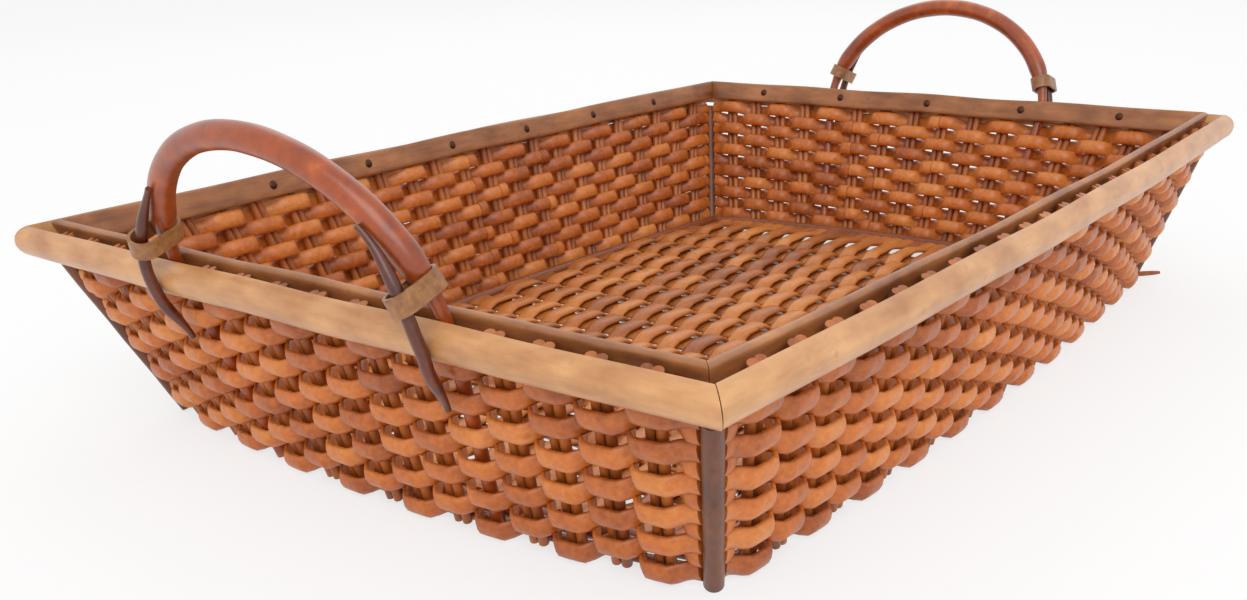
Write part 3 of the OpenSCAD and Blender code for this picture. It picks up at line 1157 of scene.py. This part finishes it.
@dataclass
class Rim:
    """The half-round outer laths and the flat inner laths.

    inner_square holds the powers that square off the inner lath's section, and
    ripple lifts a lath a little along its way.
    """

    tray: Tray
    shop: Workshop
    steps: int = 48
    arc: int = 14
    inner_arc: int = 24
    inner_square: tuple[float, float] = (0.5, 0.35)
    ripple: float = 0.0004
    ripple_turn: float = 23.0
    phases: tuple[float, float] = (1.0, 2.5)

    def _sweep(self, wall: Wall, profile: list[tuple[float, float]],
               phase: float) -> list[list[Vector]]:
        """Sweeps a profile along a wall, a little uneven.

        Args:
            wall: the wall.
            profile: the profile's (out, up) points.
            phase: where the unevenness starts.

        Returns:
            A ring of points for each step.
        """
        t = self.tray
        gap = t.seat / wall.length(t.rim_z)
        rings = []
        for i in range(self.steps + 1):
            u = lerp(gap, 1 - gap, i / self.steps)
            lift = self.ripple * math.sin(u * self.ripple_turn + phase) * bow(u)
            rings.append([wall.point(u, t.rim_z + (up + lift) * math.cos(wall.tilt), out, 1)
                          for out, up in profile])
        return rings

    def outer(self, side: Side) -> None:
        """Makes one half-round outer lath.

        Args:
            side: the wall's side.
        """
        t, wall, profile = self.tray, Wall(self.tray, side), []
        for i in range(self.arc + 1):
            turn = math.pi * i / self.arc
            profile.append((t.lath_gap + t.outer_lath_r * math.sin(turn),
                            t.outer_lath_r * math.cos(turn)))
        self.shop.loft(f"{wall.name}_outer_rim", self._sweep(wall, profile, self.phases[0]),
                       Finish.RIM, "rim_lath", [f"{wall.name}_outer_lath"])

    def inner(self, side: Side) -> None:
        """Makes one inner lath, with rounded edges.

        Args:
            side: the wall's side.
        """
        t, wall, profile = self.tray, Wall(self.tray, side), []
        half_t, half_h = t.inner_lath_t / 2, t.inner_lath_h / 2
        for i in range(self.inner_arc):
            turn = 2 * math.pi * i / self.inner_arc
            out, up = (math.copysign(abs(v) ** power, v)
                       for v, power in zip((math.cos(turn), math.sin(turn)), self.inner_square))
            profile.append((-t.lath_gap - half_t + half_t * out, half_h * up))
        self.shop.loft(f"{wall.name}_inner_rim", self._sweep(wall, profile, self.phases[1]),
                       Finish.INNER, "inner_lath", [f"{wall.name}_inner_lath"])

    def build(self) -> None:
        """Makes all eight laths."""
        for side in Side:
            self.outer(side)
            self.inner(side)


@dataclass
class Handle:
    """A bent handle rod with the strands that cross the rim outside it.

    knot makes the rod uneven, and hold is how far over and under the rim's
    middle a strand keeps off the outer lath.
    """

    tray: Tray
    shop: Workshop
    end: End
    slim_over_lath: float = 0.002
    swell: float = 0.019
    leg_foot: float = 0.002
    hold: float = 0.004
    knot: float = 0.022
    knot_turn: float = 0.83
    arch_steps: int = 72
    leg_steps: int = 4
    rod_sides: int = 24
    rod_shade: float = 0.45
    strand_steps: int = 36
    strand_taper: int = 9
    strand_sides: int = 14
    strand_shade: float = 0.3

    @property
    def wall(self) -> Wall:
        """The far short wall, which the near one mirrors."""
        return Wall(self.tray, Side.FAR_END)

    @property
    def lean(self) -> float:
        """The handle's outward lean."""
        foot, head = (self.wall.point(self.tray.leg_u, z, 0).x for z in (0, self.tray.rim_z))
        return math.atan2(head - foot, self.tray.rim_z)

    def _at(self, h: float, y: float, a: float = 0) -> Vector:
        """A point in the handle's leaning plane, or outside it.

        Args:
            h: height over the rim, along the lean.
            y: place across the basket.
            a: distance outside the plane.

        Returns:
            The point in the CAD frame.
        """
        t = self.tray
        x = self.wall.point(t.leg_u, t.rim_z, 0).x
        x += h * math.sin(self.lean) + a * math.cos(self.lean)
        z = t.rim_z + h * math.cos(self.lean) - a * math.sin(self.lean)
        return Vector((self.end.value * x, y, z))

    def _half(self, h: float) -> float:
        """Half the handle's span at a height.

        Args:
            h: height over the rim, along the lean, below 0 for the legs.

        Returns:
            The half span.
        """
        t = self.tray
        if h < 0:
            return -self.wall.point(t.leg_u, t.rim_z + h * math.cos(self.lean), 0).y
        return t.handle_span / 2 * math.sqrt(max(0, 1 - (h / t.handle_rise) ** 2))

    def _radius(self, h: float) -> float:
        """The rod's radius, slim between the laths and full above them.

        Args:
            h: height over the rim, along the lean.

        Returns:
            The radius.
        """
        t = self.tray
        slim = t.outer_lath_r + self.slim_over_lath
        return lerp(t.stake_r, t.handle_r, smooth((h - slim) / self.swell))

    def rod(self) -> None:
        """Makes the bent rod with its two legs."""
        t = self.tray
        depth = -(t.rim_z - self.leg_foot) / math.cos(self.lean)
        legs = [depth * (1 - i / self.leg_steps) for i in range(self.leg_steps)]
        line = [(h, self._half(h)) for h in legs]
        for i in range(self.arch_steps + 1):
            turn = math.pi * i / self.arch_steps
            line.append((t.handle_rise * math.sin(turn), t.handle_span / 2 * math.cos(turn)))
        line += [(h, -self._half(h)) for h in reversed(legs)]
        radii = [self._radius(h) * (1 - self.knot * (1 + math.sin(i * self.knot_turn)) / 2)
                 for i, (h, _) in enumerate(line)]
        out = Vector((self.end.value * math.cos(self.lean), 0, -math.sin(self.lean)))
        made = round_line([self._at(h, y) for h, y in line], radii, out, self.rod_shade)
        self.shop.rods(f"{self.end.word}_handle_rod", [made], Finish.HANDLE, "handle_rod",
                       [f"{self.end.word}_handle"], self.rod_sides)

    def _strand_out(self, h: float) -> float:
        """How far outside the handle's line the strand runs.

        Args:
            h: height over the rim, along the lean.

        Returns:
            The distance.
        """
        t = self.tray
        on_handle = t.handle_r + t.strand_r + t.seat
        on_lath = t.lath_gap + t.outer_lath_r + t.strand_r + t.seat
        on_weave = t.wall_out + t.strand_r / 2 + 2 * t.seat
        if h > self.hold:
            return lerp(on_lath, on_handle, smooth((h - self.hold) / (t.strand_rise - self.hold)))
        low = -(t.outer_lath_r + t.strand_tuck)
        return lerp(on_lath, on_weave, smooth((-self.hold - h) / (-self.hold - low)))

    def strand(self, long_wall: LongWall) -> None:
        """Makes one strand, from the handle's side to its tip on the weave.

        Args:
            long_wall: the long wall on its side.
        """
        t, side, last = self.tray, long_wall.value, self.strand_steps
        low = -(t.outer_lath_r + t.strand_tuck)
        heights = [lerp(low, t.strand_rise, i / last) for i in range(last + 1)]
        radii = [lerp(t.strand_r / 2, t.strand_r, smooth(min(i, last - i) / self.strand_taper))
                 for i in range(last + 1)]
        points = [self._at(h, side * self._half(h),
                           self._strand_out(h) - (t.strand_r - r if h > self.hold else 0.0))
                  for h, r in zip(heights, radii)]
        line = round_line(points, radii, ACROSS, self.strand_shade)
        name = f"{self.end.word}_handle_{long_wall.word}_strand"
        self.shop.rods(f"{name}_rod", [line], Finish.STRAND, "handle_strand", [name],
                       self.strand_sides)

    def build(self) -> None:
        """Makes the rod and both strands."""
        self.rod()
        for long_wall in LongWall:
            self.strand(long_wall)


# Camera, floor and light


@dataclass(frozen=True)
class Lamp:
    """A square soft light that faces the basket."""

    name: str
    place: Triple
    power: float
    size: float

    def build(self) -> None:
        """Adds the light."""
        data = bpy.data.lights.new(self.name, "AREA")
        data.energy, data.size = self.power, self.size
        lamp = new_object(self.name, data)
        lamp.location = self.place
        lamp.rotation_mode = "QUATERNION"
        lamp.rotation_quaternion = (-Vector(self.place)).to_track_quat("-Z", "Y")


@dataclass
class Studio:
    """The camera of the photograph, a pale floor and soft light."""

    place: Triple = (-0.50789, -0.34369, 0.20498)
    look: Triple = (0.75283, 0.59184, -0.28804)
    roll: float = math.radians(-1.816)
    lens: float = 37.245
    sensor: float = 36.0
    floor_half: float = 8.0
    ambient: float = 0.8
    floor_colour: Colour = (0.93, 0.93, 0.93, 1.0)
    floor_roughness: float = 0.9
    floor_glow: float = 0.7
    white: Colour = (1.0, 1.0, 1.0, 1.0)
    lamps: tuple[Lamp, ...] = (Lamp("key", (-1.2, -1.1, 1.3), 17.0, 1.4),
                               Lamp("fill", (1.2, 0.9, 1.5), 5.0, 1.6))

    def camera(self) -> None:
        """Sets the camera where the photograph was taken from."""
        data = bpy.data.cameras.new("photo_camera")
        data.lens, data.sensor_width, data.sensor_fit = self.lens, self.sensor, "HORIZONTAL"
        camera = new_object("photo_camera", data)
        forward = Vector(self.look).normalized()
        right = forward.cross(UP).normalized()
        up = right.cross(forward)
        c, s = math.cos(self.roll), math.sin(self.roll)
        right, up = right * c + up * s, up * c - right * s
        matrix = camera.matrix_world.copy()
        for i, values in enumerate(zip(right, up, -forward, self.place)):
            matrix[i] = values
        camera.matrix_world = matrix
        bpy.context.scene.camera = camera

    def _seen(self, s: Shader) -> Signal:
        """Tells camera, mirror and glass rays, which show the background, from the rest.

        Args:
            s: the shader of the floor or of the world.

        Returns:
            1 for such a ray and 0 for any other.
        """
        path = s.node("ShaderNodeLightPath")
        camera, mirror, glass = (Signal(s, path.outputs[f"Is {kind} Ray"])
                                 for kind in ("Camera", "Glossy", "Transmission"))
        total = camera + mirror + glass
        return s.get("ShaderNodeMath", 0, {"operation": "MINIMUM"}, i0=total, i1=1.0)

    def floor(self) -> None:
        """A pale floor that keeps the basket's shadow."""
        r = self.floor_half
        mesh = bpy.data.meshes.new("studio_floor")
        mesh.from_pydata([(-r, -r, 0), (r, -r, 0), (r, r, 0), (-r, r, 0)], [], [(0, 1, 2, 3)])
        material = bpy.data.materials.new("pale_floor")
        s = Shader(material)
        matte = s.get("ShaderNodeBsdfPrincipled", Base_Color=self.floor_colour,
                      Roughness=self.floor_roughness)
        white = s.get("ShaderNodeEmission", Color=self.white, Strength=1.0)
        mixed = s.get("ShaderNodeMixShader", i0=self._seen(s) * self.floor_glow, i1=matte, i2=white)
        s.node("ShaderNodeOutputMaterial", Surface=mixed)
        mesh.materials.append(material)
        floor = new_object("studio_floor", mesh)

    def world(self) -> None:
        """Soft light from all round, and white behind the floor."""
        world = bpy.data.worlds.new("studio")
        bpy.context.scene.world = world
        s = Shader(world)
        strength = self._seen(s) * (1 - self.ambient) + self.ambient
        back = s.get("ShaderNodeBackground", Color=self.white, Strength=strength)
        s.node("ShaderNodeOutputWorld", Surface=back)

    def build(self) -> None:
        """Sets up camera, floor, light and colour."""
        self.camera()
        self.floor()
        self.world()
        for lamp in self.lamps:
            lamp.build()
        bpy.context.scene.view_settings.view_transform = "Standard"


def main() -> None:
    """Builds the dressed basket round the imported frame."""
    logging.basicConfig(level=logging.INFO, format="%(name)s: %(message)s")
    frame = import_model()
    tray, shop = Tray(), Workshop()
    Studio().build()
    Base(tray, shop).build()
    Weave(tray, shop).build()
    Rim(tray, shop).build()
    for end in End:
        Handle(tray, shop, end).build()
        shop.dress(frame, f"{end.word}_handle_bindings", Finish.BINDING)
    shop.dress(frame, "rim_tacks", Finish.TACK)


if __name__ == "__main__":
    main()
